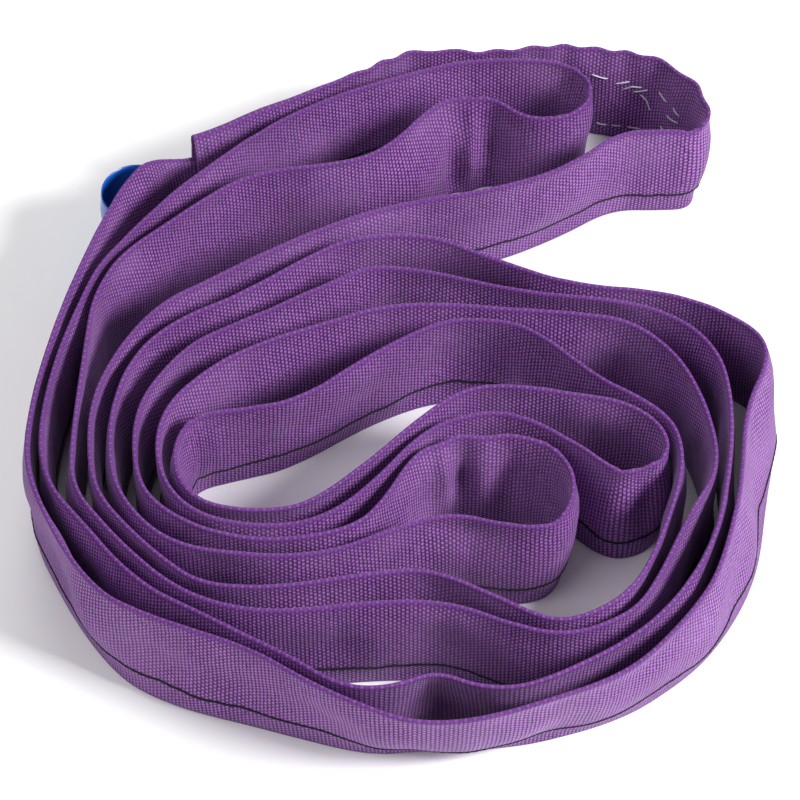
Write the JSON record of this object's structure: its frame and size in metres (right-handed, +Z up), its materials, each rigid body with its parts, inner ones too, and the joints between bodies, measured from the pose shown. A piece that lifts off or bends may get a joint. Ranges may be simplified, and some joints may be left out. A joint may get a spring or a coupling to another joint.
{
  "type": "round sling",
  "caption": "Endless textile round sling with a woven tubular sleeve over a yarn core, coiled flat on its edge, with a curled label.",
  "frame": {"origin": "on the floor, under the middle of the coiled sling", "axes": "+Z up; +Y along the coil's longer side, towards its outer bights; +X to the right"},
  "size_m": [0.2832, 0.3288, 0.048],
  "materials": {
    "violet_weave": "plain-woven polyester with a soft sheen",
    "core_yarn": "parallel white polyester yarn",
    "core_tape": "thin clear adhesive tape",
    "black_tracer": "black polyester yarn",
    "blue_label": "smooth glossy coated polyester",
    "violet_thread": "twisted sewing thread",
    "label_thread": "twisted sewing thread",
    "pale_thread": "twisted pale grey sewing thread"
  },
  "bodies": {
    "sling": {"core_splice_tape": "core_tape", "cuff_stitch_row_1": "violet_thread", "cuff_stitch_row_2": "violet_thread", "label_hem": "blue_label", "label_stitches": "label_thread", "load_core": "core_yarn", "seam_thread_lower": "pale_thread", "seam_thread_upper": "pale_thread", "sleeve_bight_a": "violet_weave", "sleeve_bight_b": "violet_weave", "sleeve_bight_c": "violet_weave", "sleeve_bight_d": "violet_weave", "sleeve_cuff": "violet_weave", "sleeve_inner_leg_bottom": "violet_weave", "sleeve_inner_leg_hole_top": "violet_weave", "sleeve_inner_leg_inner_end": "violet_weave", "sleeve_inner_leg_inner_left": "violet_weave", "sleeve_inner_leg_inner_top": "violet_weave", "sleeve_inner_leg_left": "violet_weave", "sleeve_inner_leg_lower_left": "violet_weave", "sleeve_inner_leg_lower_right": "violet_weave", "sleeve_inner_leg_right": "violet_weave", "sleeve_inner_leg_top": "violet_weave", "sleeve_outer_leg_bottom": "violet_weave", "sleeve_outer_leg_inner_bottom": "violet_weave", "sleeve_outer_leg_inner_left": "violet_weave", "sleeve_outer_leg_inner_top": "violet_weave", "sleeve_outer_leg_inner_top_right": "violet_weave", "sleeve_outer_leg_left": "violet_weave", "sleeve_outer_leg_lower_left": "violet_weave", "sleeve_outer_leg_lower_right": "violet_weave", "sleeve_outer_leg_right": "violet_weave", "sleeve_outer_leg_shoulder": "violet_weave", "sleeve_outer_leg_top": "violet_weave", "sleeve_second_leg_bottom": "violet_weave", "sleeve_second_leg_inner_bottom": "violet_weave", "sleeve_second_leg_inner_left": "violet_weave", "sleeve_second_leg_inner_top": "violet_weave", "sleeve_second_leg_inner_top_left": "violet_weave", "sleeve_second_leg_left": "violet_weave", "sleeve_second_leg_lower_left": "violet_weave", "sleeve_second_leg_lower_right": "violet_weave", "sleeve_second_leg_right": "violet_weave", "sleeve_second_leg_shoulder": "violet_weave", "sleeve_third_leg_bottom": "violet_weave", "sleeve_third_leg_inner_bottom": "violet_weave", "sleeve_third_leg_inner_end": "violet_weave", "sleeve_third_leg_inner_left": "violet_weave", "sleeve_third_leg_inner_top": "violet_weave", "sleeve_third_leg_left": "violet_weave", "sleeve_third_leg_lower_left": "violet_weave", "sleeve_third_leg_lower_right": "violet_weave", "sleeve_third_leg_right": "violet_weave", "sleeve_third_leg_shoulder": "violet_weave", "sleeve_third_leg_top": "violet_weave", "sleeve_tucked_end": "violet_weave", "tracer_yarn": "black_tracer"},
    "label": {"label_flap": "blue_label"}
  },
  "joints": [
    {"name": "label_swing", "type": "hinge", "parent": "sling", "child": "label", "pos_m": [-0.10238, 0.10014, 0.023], "axis": [0, 0, -1], "range_deg": [0, 95]}
  ]
}
